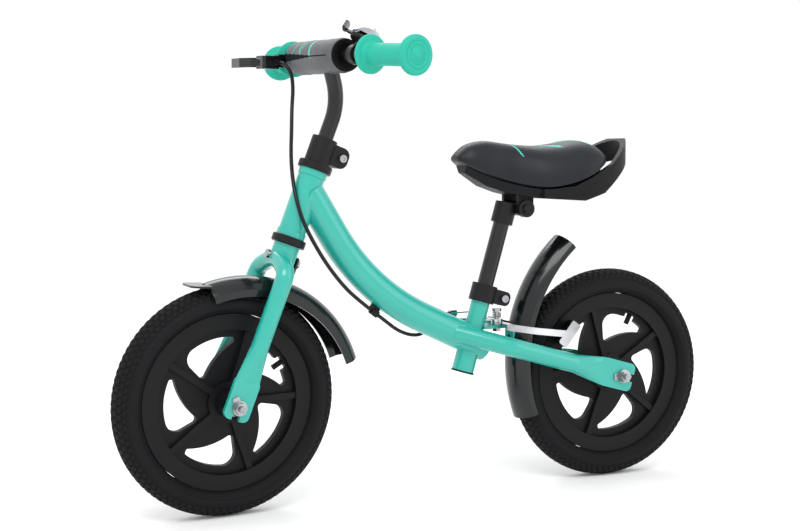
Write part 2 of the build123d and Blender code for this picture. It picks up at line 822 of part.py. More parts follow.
def grip():
    """Left grip: a sleeve with a round flange at each end, closed outside."""
    flange = Cylinder(grip_flange_radius, grip_flange_thickness, align=z_up)
    flange = fillet(flange.edges().filter_by(GeomType.CIRCLE), 2)
    inner = Pos(0, 0, grip_start) * flange
    outer_start = grip_start + grip_length - grip_flange_thickness
    outer = Pos(0, 0, outer_start) * flange
    sleeve = Pos(0, 0, grip_start) * Cylinder(grip_radius, grip_length + 2, align=z_up)
    nub = Pos(0, 0, grip_start + grip_length + 2) * Cylinder(3, 1.5, align=z_up)
    body = inner + outer + sleeve + nub
    body -= Cylinder(bar_radius, bar_end_length, align=z_up)
    bend = bar_centre + side * bar_bend_side
    return Plane(origin=tuple(bend), z_dir=tuple(bar_end_direction)) * body


def handlebar_pad():
    """Soft sleeve round the middle of the bar, cut away where the stem comes in."""
    length = pad_high_side - pad_low_side
    middle = bar_centre + side * ((pad_high_side + pad_low_side) / 2)
    plane = Plane(origin=tuple(middle), z_dir=(0, 1, 0))
    sleeve = Cylinder(pad_radius, length) - Cylinder(bar_radius + touch_gap, length)
    return plane * sleeve - stem_solid(stem_radius + touch_gap)


def bell_plane(distance):
    """Plane on the bell's own axis, which leans back from the bar."""
    lean = math.radians(bell_tilt)
    out = Vector(-math.sin(lean), 0, math.cos(lean))
    origin = bar_centre + side * bell_side + out * distance
    return Plane(origin=tuple(origin), x_dir=(math.cos(lean), 0, math.sin(lean)), z_dir=tuple(out))


bell_base_low = 15.0
bell_base_thickness = 4.0
bell_lever_low = bell_base_low + bell_base_thickness + 0.4
bell_lever_thickness = 2.6
bell_dome_low = bell_lever_low + bell_lever_thickness + 0.5
bell_dome_height = 15.0
bell_pivot = (12.0, -9.0)
bell_tab = (20.5, -15.0)


def bell_base():
    band = Cylinder(bar_radius + 2.6, 12) - Cylinder(bar_radius, 12)
    band_plane = Plane(origin=tuple(bar_centre + side * bell_side), z_dir=(0, 1, 0))
    foot = Box(16, 14, bell_base_low - bar_radius, align=z_up)
    disc = Cylinder(bell_radius - 0.8, bell_base_thickness, align=z_up)
    disc = fillet(disc.edges().filter_by(GeomType.CIRCLE).group_by(Axis.Z)[0], 1.8)
    post_height = bell_dome_low + bell_dome_height - bell_base_low - 2
    post = Cylinder(3, post_height, align=z_up)
    pin_height = bell_base_thickness + bell_lever_thickness + 0.4
    pin = Pos(*bell_pivot, 0) * Cylinder(1.5, pin_height, align=z_up)
    base = bell_plane(bell_base_low) * (disc + post + pin)
    base += bell_plane(bar_radius) * foot
    return band_plane * band + (base - band_plane * Cylinder(bar_radius, 30))


def bell_dome():
    height = bell_dome_height
    sphere_radius = (bell_radius**2 + height**2) / (2 * height)
    cap = Pos(0, 0, height - sphere_radius) * Sphere(sphere_radius)
    inside = Pos(0, 0, height - sphere_radius) * Sphere(sphere_radius - 1.2)
    keep = Cylinder(bell_radius + 1, height + 2, align=z_up)
    dome = (cap - inside) & keep
    dome += Pos(0, 0, height - 1.9) * Cylinder(3.5, 3.2, align=z_up)
    dome -= Cylinder(3, height - 2, align=z_up)
    return bell_plane(bell_dome_low) * dome


def bell_lever():
    """Thumb lever that swings on a pin between the base and the dome."""
    reach = Vector(bell_tab[0] - bell_pivot[0], bell_tab[1] - bell_pivot[1])
    angle = math.degrees(math.atan2(reach.Y, reach.X))
    arm = extrude(SlotCenterToCenter(reach.length, 7), bell_lever_thickness)
    middle = ((bell_tab[0] + bell_pivot[0]) / 2, (bell_tab[1] + bell_pivot[1]) / 2)
    arm = Pos(*middle, 0) * Rot(0, 0, angle) * arm
    tab = Box(4, 15, 11, align=z_up)
    tab = fillet(tab.edges().filter_by(Axis.X), 2)
    arm += Pos(bell_tab[0] + 4.5, bell_tab[1] - 3, 0) * Rot(0, 0, angle) * tab
    arm -= Pos(*bell_pivot, 0) * Cylinder(1.5 + running, 20)
    return bell_plane(bell_lever_low) * arm


lever_pivot = bar_centre + Vector(38.0, -111.5, -6.0)
lever_band_half = 7.0
lever_block_low = -120.0
lever_block_high = -93.0
lever_root_half = 4.7
lever_blade_half = 6.2
lever_ear_half = 8.5
lever_pin_radius = 2.5
barrel_forward = 28.0
barrel_end = -88.0
barrel_radius = 4.2


def brake_lever_bracket():
    """Bar clamp with two ears for the lever, its pin and the cable barrel."""
    band = Cylinder(bar_radius + 4, 2 * lever_band_half)
    band_plane = Plane(origin=tuple(bar_centre + side * lever_side), z_dir=(0, 1, 0))
    neck = Box(22, 2 * lever_band_half, 2 * lever_ear_half)
    middle = (lever_block_low + lever_block_high) / 2
    block = Box(24, lever_block_high - lever_block_low, 2 * lever_ear_half)
    block = fillet(block.edges().filter_by(Axis.Z), 4)
    body = band_plane * band
    body += Pos(bar_centre.X + 17, lever_side, lever_pivot.Z + 2) * neck
    body += Pos(bar_centre.X + 37, middle, lever_pivot.Z) * block
    slot = Box(60, 60, 2 * lever_root_half + 2 * touch_gap)
    body -= Pos(lever_pivot.X - 9 + 30, lever_pivot.Y + 8 - 30, lever_pivot.Z) * slot
    barrel_plane = Plane(
        origin=(bar_centre.X + barrel_forward, barrel_end - 5, lever_pivot.Z), z_dir=(0, 1, 0)
    )
    body += barrel_plane * Cylinder(barrel_radius, 10)
    body -= barrel_plane * Pos(0, 0, 3) * Cylinder(cable_radius + running, 4.1)
    body -= bar_solid(bar_radius)
    body += Pos(*lever_pivot) * Cylinder(lever_pin_radius, 2 * lever_ear_half)
    return max(body.solids(), key=lambda solid: solid.volume)


def brake_lever():
    """Blade that swings about the upright pin; straight legs and a round tip."""
    corners = [Vector(0, 0), Vector(13, -12), Vector(20, -32), Vector(19, -62)]
    halves = [lever_root_half, lever_blade_half, lever_blade_half]
    widths = [9.0, 9.5, 8.5]
    blade = Cylinder(7, 2 * lever_root_half)
    for start, end, width, half in zip(corners, corners[1:], widths, halves):
        reach = end - start
        angle = math.degrees(math.atan2(reach.Y, reach.X))
        leg = extrude(SlotCenterToCenter(reach.length, width), half, both=True)
        middle = (start + end) / 2
        blade += Pos(middle.X, middle.Y, 0) * Rot(0, 0, angle) * leg
    blade -= Cylinder(lever_pin_radius + running, 40)
    return Pos(*lever_pivot) * blade


save(steered(stem_tube()), "stem_tube")
save(steered(bar_solid(bar_radius, bar_radius - bar_wall)), "handlebar_tube")
save(steered(grip()), "grip_left")
save(steered(mirrored(grip())), "grip_right")
save(steered(handlebar_pad()), "handlebar_pad")
save(steered(bell_base()), "bell_base")
save(steered(bell_dome()), "bell_dome")
save(steered(bell_lever()), "bell_lever")
save(steered(brake_lever_bracket()), "brake_lever_bracket")
save(steered(brake_lever()), "brake_lever")

# ---------------------------------------------------------------------------------
# Seat post, its clamp and the saddle
# ---------------------------------------------------------------------------------

post_wall = 2.0
clamp_barrel_radius = 10.0
clamp_barrel_half = 17.6
lug_thickness = 6.0
lug_gap = 0.4
saddle_bolt_radius = 4.0
strap_thickness = 8.0

# Along the cushion: position, half width, height of the top and of the lower edge.
cushion_stations = [
    (-42, 13, 452, 443),
    (-58, 25, 465, 434),
    (-82, 30, 470.5, 423),
    (-110, 34, 467.5, 414),
    (-135, 45, 465, 408),
    (-160, 57, 464, 406),
    (-189, 64, 467, 411),
    (-215, 66, 471.5, 421),
    (-235, 61, 467, 433),
    (-249, 48, 453, 442),
]
# Along the base: position, half width above and below, height of the underside.
base_stations = [
    (-52, 18, 9, 428),
    (-82, 26, 16, 410),
    (-110, 31, 22, 401),
    (-135, 42, 32, 396),
    (-160, 54, 42, 393),
    (-189, 61, 50, 391),
    (-215, 61, 52, 395),
    (-235, 54, 46, 408),
]


# Strap behind the saddle: half width from above, then its upper and lower edge.
strap_outline = [(-150, 52), (-190, 62), (-222, 66), (-252, 61), (-276, 47), (-291, 25), (-296, 0)]
strap_top = [(-140, 405), (-190, 409), (-220, 424), (-250, 440), (-275, 462), (-292, 474), (-310, 474)]
strap_low = [(-140, 394), (-205, 390), (-235, 400), (-262, 422), (-296, 449), (-310, 455)]


def lip_height(position):
    """Height of the cushion's lower edge at a position along the saddle."""
    for first, second in zip(cushion_stations, cushion_stations[1:]):
        if second[0] <= position <= first[0]:
            share = (position - first[0]) / (second[0] - first[0])
            return first[3] + share * (second[3] - first[3])
    return cushion_stations[-1][3]


def section_wire(position, points, closing):
    """Closed outline across the saddle: a smooth curve and straight lines back."""
    corners = [Vector(position, across, height) for across, height in points]
    ends = [Vector(position, across, height) for across, height in closing]
    edges = [Spline(*corners)] if len(corners) > 2 else [Line(*corners)]
    path = [corners[-1], *ends, corners[0]]
    edges += [Line(a, b) for a, b in zip(path, path[1:])]
    return make_face(Wire(edges))


def saddle_cushion():
    """Padded top, from nose to tail; plain, because the cover only follows it."""
    faces = []
    for position, half, top, low in cushion_stations:
        rise = top - low
        points = [
            (-half, low),
            (-half * 0.93, low + rise * 0.52),
            (-half * 0.62, low + rise * 0.88),
            (0, top),
            (half * 0.62, low + rise * 0.88),
            (half * 0.93, low + rise * 0.52),
            (half, low),
        ]
        faces.append(section_wire(position, points, []))
    return loft(faces)


def strap_plan(inset):
    """The strap's outline from above, drawn in by an inset along its own normal."""
    outline = [Vector(*point) for point in strap_outline]
    moved = []
    for index, point in enumerate(outline):
        before = outline[max(index - 1, 0)]
        after = outline[index + 1] if index + 1 < len(outline) else Vector(point.X, -before.Y)
        along = (after - before).normalized()
        moved.append(point + Vector(-along.Y, along.X) * inset)
    moved[-1] = Vector(moved[-1].X, 0)
    far = [Vector(point.X, -point.Y) for point in reversed(moved[:-1])]
    edge = Spline(*moved, *far)
    return make_face([edge, Line(edge @ 1, edge @ 0)])


def saddle_strap():
    """Wide flat loop behind the saddle: a ring from above, cut to a rising band."""
    ring = extrude(strap_plan(0) - strap_plan(strap_thickness), 600)
    band = make_face(Polyline(*strap_top, *reversed(strap_low), close=True))
    return ring & Plane.XZ * extrude(band, 200, both=True)


def saddle_base(cushion):
    """Moulded pan under the cushion with the carrying handle and the tilt lugs."""
    faces = []
    for position, half_top, half_low, low in base_stations:
        top = lip_height(position) + 3
        closing = [(half_low, low), (-half_low, low)]
        faces.append(section_wire(position, [(-half_top, top), (half_top, top)], closing))
    pan = loft(faces, ruled=True)
    pan += saddle_strap()
    pivot = saddle_pivot
    lug_low = clamp_barrel_half + lug_gap
    for hand in (1, -1):
        lug_middle = hand * (lug_low + lug_thickness / 2)
        lug_place = Pos(pivot.X, lug_middle, pivot.Z)
        pan += lug_place * Rot(90, 0, 0) * Cylinder(clamp_disc_radius, lug_thickness)
        web_height = lip_height(pivot.X) - 3 - pivot.Z
        web = Box(2 * clamp_disc_radius, lug_thickness, web_height, align=z_up)
        pan += lug_place * web
    pan -= cushion
    pan -= Pos(*pivot) * Rot(90, 0, 0) * Cylinder(saddle_bolt_radius + running, 80)
    return max(pan.solids(), key=lambda solid: solid.volume)


saddle_pivot = seat_plane(post_top_height, -saddle_pivot_back).origin


def seat_post():
    tube = Cylinder(post_radius, post_length, align=z_up)
    tube -= Cylinder(post_radius - post_wall, post_length, align=z_up)
    return seat_plane(post_top_height - post_length) * tube


def saddle_clamp():
    """Collar on the post with the cross barrel that the saddle tilts on."""
    collar = seat_plane(post_top_height - 26) * Cylinder(post_radius + 4, 28, align=z_up)
    barrel = Pos(*saddle_pivot) * Rot(90, 0, 0) * Cylinder(clamp_barrel_radius, 2 * clamp_barrel_half)
    clamp = collar + barrel
    clamp -= seat_plane(0) * Cylinder(post_radius, post_top_height, align=z_up)
    return clamp - Pos(*saddle_pivot) * Rot(90, 0, 0) * Cylinder(saddle_bolt_radius, 80)


def saddle_clamp_bolt():
    """Cross bolt with a round plate at each end."""
    reach = clamp_barrel_half + 2 * lug_gap + lug_thickness
    bolt = Cylinder(saddle_bolt_radius, 2 * reach)
    for hand in (1, -1):
        bolt += Pos(0, 0, hand * (reach + 1.5)) * Cylinder(clamp_disc_radius, 3)
        bolt += Pos(0, 0, hand * (reach + 3)) * extrude(RegularPolygon(6.5, 6), 3 * hand)
    return Pos(*saddle_pivot) * Rot(90, 0, 0) * bolt


cushion = saddle_cushion()
save(seat_post(), "seat_post")
save(saddle_clamp(), "saddle_clamp")
save(saddle_clamp_bolt(), "saddle_clamp_bolt")
save(cushion, "saddle_cushion")
save(saddle_base(cushion), "saddle_base")

# ---------------------------------------------------------------------------------
# Rear brake: two arms on one upright bolt, pads, spring
# ---------------------------------------------------------------------------------

arm_gap = 0.4
arm_ring_radius = 8.0
left_ring_low = bridge_height + arm_gap
right_ring_low = left_ring_low + arm_thickness + arm_gap
spring_low = right_ring_low + arm_thickness + 1.6
spring_turn_radius = 5.5
spring_wire = 0.8
spring_rise = 7.0
bolt_head_low = spring_low + spring_rise + 1.6
pad_radius_on_rim = 100.0
pad_angle = 38.0
pad_length = 32.0
pad_height = 11.0
pad_thickness = 8.0
pad_point = rear_axle + Vector(
    pad_radius_on_rim * math.cos(math.radians(pad_angle)),
    0,
    pad_radius_on_rim * math.sin(math.radians(pad_angle)),
)
pad_face = rim_half_width + pad_gap
anchor = Vector(-88, -34, 237)
barrel_front = Vector(-48, -30, 237)
wire_direction = (anchor - barrel_front).normalized()
sheath_end = barrel_front + wire_direction * 4


def bar_between(start, end, width, thickness, lift):
    """Flat bar with round ends in a level plane."""
    reach = end - start
    angle = math.degrees(math.atan2(reach.Y, reach.X))
    middle = (start + end) / 2
    bar = extrude(SlotCenterToCenter(Vector(reach.X, reach.Y).length, width), thickness)
    return Pos(middle.X, middle.Y, lift) * Rot(0, 0, angle) * bar


def upright_bar(start, end, width, thickness):
    """Flat bar with round ends in an upright plane; thickness is counted across."""
    reach = end - start
    angle = math.degrees(math.atan2(reach.Z, reach.X))
    bar = extrude(SlotCenterToCenter(reach.length, width), thickness / 2, both=True)
    middle = (start + end) / 2
    return Pos(*middle) * Rot(90, 0, 0) * Rot(0, 0, angle) * bar


def pad_plane(depth):
    """Plane on the brake pad; local z points out from the wheel, x along the rim."""
    turn = math.radians(pad_angle)
    return Plane(
        origin=(pad_point.X, depth, pad_point.Z),
        x_dir=(-math.sin(turn), 0, math.cos(turn)),
        z_dir=(0, 1, 0),
    )


def arm_side_bars(ring_low):
    """The rearward part of the left arm: cross bar, two upright bars, pad holder."""
    cross_end = Vector(pivot_x - 2, arm_side - 2, 0)
    arm = bar_between(Vector(pivot_x, 0, 0), cross_end, 12, arm_thickness, ring_low)
    arm += Pos(pivot_x, 0, ring_low) * Cylinder(arm_ring_radius, arm_thickness, align=z_up)
    knee = Vector(pivot_x - 2, arm_side, ring_low + arm_thickness - arm_height / 2)
    elbow = Vector(-150, arm_side, 214)
    end = Vector(pad_point.X, arm_side, pad_point.Z)
    arm += upright_bar(knee, elbow, arm_height, arm_thickness)
    arm += upright_bar(elbow, end, arm_height, arm_thickness)
    holder_low = pad_face + pad_thickness
    holder_depth = arm_side + arm_thickness / 2 - holder_low
    holder = Box(pad_length + 5, pad_height + 4, holder_depth, align=z_up)
    holder = fillet(holder.edges().filter_by(Axis.Z), 3)
    arm += pad_plane(holder_low) * holder
    return arm


def brake_pad():
    block = Box(pad_length, pad_height, pad_thickness, align=z_up)
    return pad_plane(pad_face) * block


def wire_bore():
    return rod(barrel_front, anchor, wire_radius + arm_gap)


def brake_arm_left():
    arm = arm_side_bars(left_ring_low)
    foot = Vector(anchor.X, anchor.Y, 0)
    arm += bar_between(Vector(pivot_x, 0, 0), foot, 9, arm_thickness, left_ring_low)
    post_height = anchor.Z + 5 - left_ring_low
    arm += Pos(anchor.X, anchor.Y, left_ring_low) * Cylinder(4.5, post_height, align=z_up)
    arm -= Pos(pivot_x, 0, 0) * Cylinder(pivot_radius + running, 600)
    return arm - rod(anchor - wire_direction * 20, anchor + wire_direction * 20, wire_radius)


def brake_arm_right():
    arm = mirrored(arm_side_bars(right_ring_low))
    knee = Vector(-98, -19, 0)
    seat = Vector(barrel_front.X - 5, barrel_front.Y, 0)
    arm += bar_between(Vector(pivot_x, 0, 0), knee, 9, arm_thickness, right_ring_low)
    arm += bar_between(knee, seat, 9, arm_thickness, right_ring_low)
    barrel_back = barrel_front + wire_direction * 10
    arm += rod(barrel_front, barrel_back, 4.8)
    arm += Pos(seat.X, seat.Y, right_ring_low) * Box(8, 7, 8, align=z_up)
    arm -= rod(barrel_front, sheath_end, cable_radius)
    arm -= Pos(pivot_x, 0, 0) * Cylinder(pivot_radius + running, 600)
    return arm - wire_bore()


def caliper_bolt():
    low = bridge_height - 4
    shank = Pos(pivot_x, 0, low - 5) * Cylinder(pivot_radius, bolt_head_low - low + 5, align=z_up)
    head = Pos(pivot_x, 0, bolt_head_low) * Cylinder(6.5, 4, align=z_up)
    nut = Pos(pivot_x, 0, low - 5) * extrude(RegularPolygon(6, 6), 5)
    return shank + head + nut


def caliper_spring():
    """Coil round the bolt with a straight leg towards each arm."""
    helix = Helix(spring_rise / 3, spring_rise, spring_turn_radius)
    start = helix @ 0
    profile = Plane(origin=start, z_dir=tuple(helix % 0)) * Circle(spring_wire)
    coil = sweep(profile, path=helix)
    for end, out in ((helix @ 0, -14), (helix @ 1, 14)):
        coil += rod(end - Vector(0, out * 0.03, 0), end + Vector(0, out, 0), spring_wire * 0.96)
    return Pos(pivot_x, 0, spring_low) * coil


save(brake_arm_left(), "brake_arm_left")
save(brake_arm_right(), "brake_arm_right")
save(brake_pad(), "brake_pad_left")
save(mirrored(brake_pad()), "brake_pad_right")
save(caliper_bolt(), "caliper_bolt")
save(caliper_spring(), "caliper_spring")

# ---------------------------------------------------------------------------------
# Brake cable, from the lever down the fork to the caliper
# ---------------------------------------------------------------------------------

lever_exit = Vector(bar_centre.X + barrel_forward, barrel_end, lever_pivot.Z)


def turned(point):
    """Where a point on the straight handlebar is once the bar is turned."""
    return Vertex(*point).rotate(steer_axis, rest_steer).center()


cable_points = [
    turned(lever_exit - side * 4),
    turned(lever_exit + side * 10),
    Vector(163, -64, 561),
    Vector(161, -63, 540),
    Vector(165, -58, 513),
    Vector(171, -42, 484),
    Vector(179, -22, 456),
    Vector(184, -4, 430),
    Vector(186, 14, 402),
    Vector(181, 24, 373),
    Vector(168, 25, 346),
    Vector(148, 21, 315),
    Vector(120, 14, 282),
    Vector(91, 8, 258.5),
    Vector(62, 1, 237.5),
    Vector(36, -9, 219),
    Vector(8, -18, 210),
    Vector(-14, -26, 215),
    barrel_front - wire_direction * 14,
    sheath_end,
]
upper_last = 6
middle_last = 13
guide_run = 13
cable_turns = cord_radii([tuple(point) for point in cable_points])


def cable_piece(first, last, radius=cable_radius):
    """Sheath between the middles of two runs; the ends of the cable stay whole."""
    points = cable_points[first : last + 1]
    if first > 0:
        points = [(cable_points[first - 1] + points[0]) / 2] + points
    if last < len(cable_points) - 1:
        points = points + [(points[-1] + cable_points[last + 1]) / 2]
    first_turn = max(first - 1, 0)
    turns = cable_turns[first_turn : first_turn + len(points) - 2]
    return swept([tuple(point) for point in points], radius, 0.0, turns)


def cable_guide():
    """Clip under the main tube with a bore for the brake cable."""
    along = cable_points[guide_run + 1] - cable_points[guide_run]
    middle = (cable_points[guide_run + 1] + cable_points[guide_run]) / 2
    plane = Plane(origin=tuple(middle), x_dir=(0, 1, 0), z_dir=tuple(along))
    clip = Cylinder(cable_radius + 2.2, 12)
    clip += Pos(-4, -8, 0) * Box(8, 16, 12)
    clip = plane * clip
    clip -= down_tube_outline()
    clip = max(clip.solids(), key=lambda solid: solid.volume)
    return clip - cable_piece(middle_last - 1, middle_last + 2, cable_radius + running)


print("cable bend radii", [round(turn, 1) for turn in cable_turns])
save(cable_guide(), "cable_guide")
save(cable_piece(0, upper_last), "brake_cable_upper")
save(cable_piece(upper_last + 1, middle_last), "brake_cable_middle")
save(cable_piece(middle_last + 1, len(cable_points) - 1), "brake_cable_lower")
save(rod(sheath_end, anchor + wire_direction * 4, wire_radius), "brake_inner_wire")
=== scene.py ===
import math

import bmesh
import bpy
from mathutils import Matrix, Vector


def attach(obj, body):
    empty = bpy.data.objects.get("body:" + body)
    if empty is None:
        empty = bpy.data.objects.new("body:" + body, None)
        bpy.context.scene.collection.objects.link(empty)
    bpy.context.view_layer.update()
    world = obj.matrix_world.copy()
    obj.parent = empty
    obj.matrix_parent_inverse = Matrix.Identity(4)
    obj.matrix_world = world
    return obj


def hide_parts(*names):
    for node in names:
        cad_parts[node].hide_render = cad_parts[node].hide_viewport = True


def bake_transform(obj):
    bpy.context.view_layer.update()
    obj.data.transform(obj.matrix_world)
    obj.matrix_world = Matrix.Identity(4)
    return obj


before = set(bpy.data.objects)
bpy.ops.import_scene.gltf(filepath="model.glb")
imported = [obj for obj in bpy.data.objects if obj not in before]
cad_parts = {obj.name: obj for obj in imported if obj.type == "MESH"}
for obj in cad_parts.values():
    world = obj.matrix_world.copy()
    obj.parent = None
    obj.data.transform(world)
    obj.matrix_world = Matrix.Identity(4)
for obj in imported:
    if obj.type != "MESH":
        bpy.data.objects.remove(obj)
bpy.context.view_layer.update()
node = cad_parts

# ---------------------------------------------------------------------------------
# Shared places, in metres
# ---------------------------------------------------------------------------------

head_turn = math.radians(21.4)
rest_turn = math.radians(6)
half_wheelbase = 0.277
axle_height = 0.146
fork_offset = 0.008
bar_rise = 0.4524
bar_reach = 0.035

steer_up = Vector((-math.sin(head_turn), 0, math.cos(head_turn)))
steer_forward = Vector((math.cos(head_turn), 0, math.sin(head_turn)))
front_axle = Vector((half_wheelbase, 0, axle_height))
rear_axle = Vector((-half_wheelbase, 0, axle_height))
steer_foot = front_axle - steer_forward * fork_offset
steer_turn = Matrix.Rotation(rest_turn, 4, steer_up)
steered = Matrix.Translation(steer_foot) @ steer_turn @ Matrix.Translation(-steer_foot)
bar_centre = steer_foot + steer_up * bar_rise + steer_forward * bar_reach


# ---------------------------------------------------------------------------------
# Camera, floor and light
# ---------------------------------------------------------------------------------

camera_place = (0.7283, 1.6196, 0.4491)
camera_turn = math.radians(66.9)
camera_rise = math.radians(4.6)
camera_roll = math.radians(-0.3)
camera_lens = 60.5
camera_sensor = 36

world_strength = 1.04
floor_reach = 30
light_target = (0, 0, 0.3)
# name, place, size of the panel, watts
area_lights = [
    ("key", (0.9, 1.3, 2.2), (1.6, 1.0), 24),
    ("fill", (-1.6, 1.6, 1.2), (1.2, 1.6), 7),
    ("rim", (-0.4, -1.6, 1.9), (1.8, 0.8), 14),
]


def make_camera():
    level = math.cos(camera_rise)
    back = Vector(
        (math.cos(camera_turn) * level, math.sin(camera_turn) * level, math.sin(camera_rise))
    )
    right = Vector((0, 0, 1)).cross(back).normalized()
    up = back.cross(right)
    basis = Matrix((right, up, back)).transposed() @ Matrix.Rotation(camera_roll, 3, "Z")
    data = bpy.data.cameras.new("camera")
    data.sensor_width = camera_sensor
    data.lens = camera_lens
    camera = bpy.data.objects.new("camera", data)
    bpy.context.collection.objects.link(camera)
    camera.matrix_world = Matrix.Translation(camera_place) @ basis.to_4x4()
    bpy.context.scene.camera = camera


def make_area_light(name, place, size, watts):
    data = bpy.data.lights.new(name, "AREA")
    data.shape = "RECTANGLE"
    data.size, data.size_y = size
    data.energy = watts
    light = bpy.data.objects.new(name, data)
    bpy.context.collection.objects.link(light)
    light.location = place
    light.rotation_mode = "QUATERNION"
    light.rotation_quaternion = (Vector(light_target) - Vector(place)).to_track_quat("-Z", "Y")


def make_studio():
    world = bpy.data.worlds.new("studio")
    bpy.context.scene.world = world
    world.use_nodes = True
    background = world.node_tree.nodes["Background"]
    background.inputs["Color"].default_value = (1, 1, 1, 1)
    background.inputs["Strength"].default_value = world_strength
    bpy.context.scene.view_settings.view_transform = "Standard"
    for light in area_lights:
        make_area_light(*light)
    reach = floor_reach
    corners = [(-reach, -reach, 0), (reach, -reach, 0), (reach, reach, 0), (-reach, reach, 0)]
    floor = make_mesh("floor", corners, [(0, 1, 2, 3)])
    floor_white = surface("floor_white", (0.97, 0.97, 0.97), 0.95, spread=0.0, specular=0.0)
    floor.data.materials.append(floor_white)


# ---------------------------------------------------------------------------------
# Materials
# ---------------------------------------------------------------------------------

coat_roughness = 0.04
bump_distance = 0.0004
broad_scale = 18


def surface(
    name,
    colour,
    rough,
    metal=0.0,
    coat=0.0,
    grain=400.0,
    bump=0.0,
    spread=0.12,
    rough_spread=0.05,
    specular=0.5,
):
    """Procedural finish: noise varies the colour and roughness and drives a fine bump."""
    made = bpy.data.materials.get(name)
    if made:
        return made
    made = bpy.data.materials.new(name)
    made.use_nodes = True
    nodes, links = made.node_tree.nodes, made.node_tree.links
    shader = nodes["Principled BSDF"]
    shader.inputs["Metallic"].default_value = metal
    shader.inputs["Coat Weight"].default_value = coat
    shader.inputs["Coat Roughness"].default_value = coat_roughness
    shader.inputs["Specular IOR Level"].default_value = specular
    place = nodes.new("ShaderNodeTexCoord")
    broad = nodes.new("ShaderNodeTexNoise")
    broad.inputs["Scale"].default_value = broad_scale
    broad.inputs["Detail"].default_value = 4
    fine = nodes.new("ShaderNodeTexNoise")
    fine.inputs["Scale"].default_value = grain
    fine.inputs["Detail"].default_value = 3
    for noise in (broad, fine):
        links.new(place.outputs["Object"], noise.inputs["Vector"])
    ramp = nodes.new("ShaderNodeValToRGB")
    dark = [channel * (1 - spread) for channel in colour]
    light = [min(1, channel * (1 + spread)) for channel in colour]
    ramp.color_ramp.elements[0].position = 0.3
    ramp.color_ramp.elements[0].color = (*dark, 1)
    ramp.color_ramp.elements[1].position = 0.7
    ramp.color_ramp.elements[1].color = (*light, 1)
    links.new(broad.outputs["Fac"], ramp.inputs["Fac"])
    links.new(ramp.outputs["Color"], shader.inputs["Base Color"])
    spread_rough = nodes.new("ShaderNodeMapRange")
    spread_rough.inputs["To Min"].default_value = max(0.02, rough - rough_spread)
    spread_rough.inputs["To Max"].default_value = min(1, rough + rough_spread)
    links.new(fine.outputs["Fac"], spread_rough.inputs["Value"])
    links.new(spread_rough.outputs["Result"], shader.inputs["Roughness"])
    if bump:
        relief = nodes.new("ShaderNodeBump")
        relief.inputs["Strength"].default_value = bump
        relief.inputs["Distance"].default_value = bump_distance
        links.new(fine.outputs["Fac"], relief.inputs["Height"])
        links.new(relief.outputs["Normal"], shader.inputs["Normal"])
    return made


def paint(material, *names):
    for name in names:
        slots = node[name].data.materials
        slots.clear()
        slots.append(material)


teal_paint = surface("teal_paint", (0.012, 0.39, 0.32), 0.3, coat=0.6, grain=900, bump=0.03, spread=0.03)
black_paint = surface(
    "black_paint", (0.004, 0.004, 0.005), 0.25, coat=0.3, grain=900, bump=0.04, specular=0.35
)
satin_black = surface("satin_black", (0.006, 0.006, 0.007), 0.42, grain=700, bump=0.15, specular=0.25)
moulded_black = surface("moulded_black", (0.005, 0.005, 0.006), 0.5, grain=1600, bump=0.3, specular=0.2)
gloss_black = surface(
    "gloss_black", (0.004, 0.005, 0.006), 0.18, coat=0.25, grain=300, bump=0.03, specular=0.35
)
rubber_black = surface("rubber_black", (0.006, 0.006, 0.007), 0.65, grain=1200, bump=0.45, specular=0.16)
chrome = surface("chrome", (0.50, 0.51, 0.53), 0.12, metal=1.0, grain=500, bump=0.02, spread=0.45)
plated = surface("plated_steel", (0.42, 0.42, 0.44), 0.25, metal=1.0, grain=900, bump=0.15, spread=0.25)
grip_rubber = surface(
    "grip_rubber", (0.018, 0.42, 0.31), 0.6, grain=1400, bump=0.35, spread=0.04, specular=0.3
)
sheath_black = surface("sheath_black", (0.005, 0.005, 0.005), 0.33, grain=900, bump=0.1, specular=0.3)
cover_black = surface("cover_black", (0.007, 0.009, 0.013), 0.4, grain=2200, bump=0.3, specular=0.3)
print_teal = surface(
    "print_teal", (0.05, 0.50, 0.42), 0.5, grain=1800, bump=0.2, spread=0.04, specular=0.3
)
pad_grey = surface("pad_grey", (0.10, 0.105, 0.11), 0.55, grain=2000, bump=0.45, spread=0.3, specular=0.3)
foam_black_and_seam_shade = surface("foam_black_and_seam_shade", (0.01, 0.01, 0.011), 0.9, grain=1500, bump=0.8, specular=0.1)


# ---------------------------------------------------------------------------------
# Mesh helpers
# ---------------------------------------------------------------------------------


def make_mesh(name, corners, faces, smooth=True):
    mesh = bpy.data.meshes.new(name)
    mesh.from_pydata([tuple(corner) for corner in corners], [], faces)
    mesh.validate()
    for face in mesh.polygons:
        face.use_smooth = smooth
    made = bpy.data.objects.new(name, mesh)
    bpy.context.collection.objects.link(made)
    return made


def ring_faces(rows, columns, loop_rows, loop_columns, caps):
    """Quads of a grid whose rows and columns may each close on themselves."""
    faces = []
    for row in range(rows if loop_rows else rows - 1):
        after = (row + 1) % rows
        for column in range(columns if loop_columns else columns - 1):
            beside = (column + 1) % columns
            faces.append(
                (
                    row * columns + column,
                    row * columns + beside,
                    after * columns + beside,
                    after * columns + column,
                )
            )
    if caps:
        faces.append(tuple(reversed(range(columns))))
        faces.append(tuple(range((rows - 1) * columns, rows * columns)))
    return faces


def make_rings(name, rings, loop=False, caps=True):
    """Skin over a list of closed rings with the same number of points."""
    corners = [point for ring in rings for point in ring]
    faces = ring_faces(len(rings), len(rings[0]), loop, True, caps and not loop)
    return make_mesh(name, corners, faces)


def finish_piece(piece, material, body, *replaced, place=None):
    if place is not None:
        piece.data.transform(place)
    piece.data.materials.append(material)
    fix_normals(piece)
    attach(piece, body)
    if replaced:
        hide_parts(*replaced)
    return piece


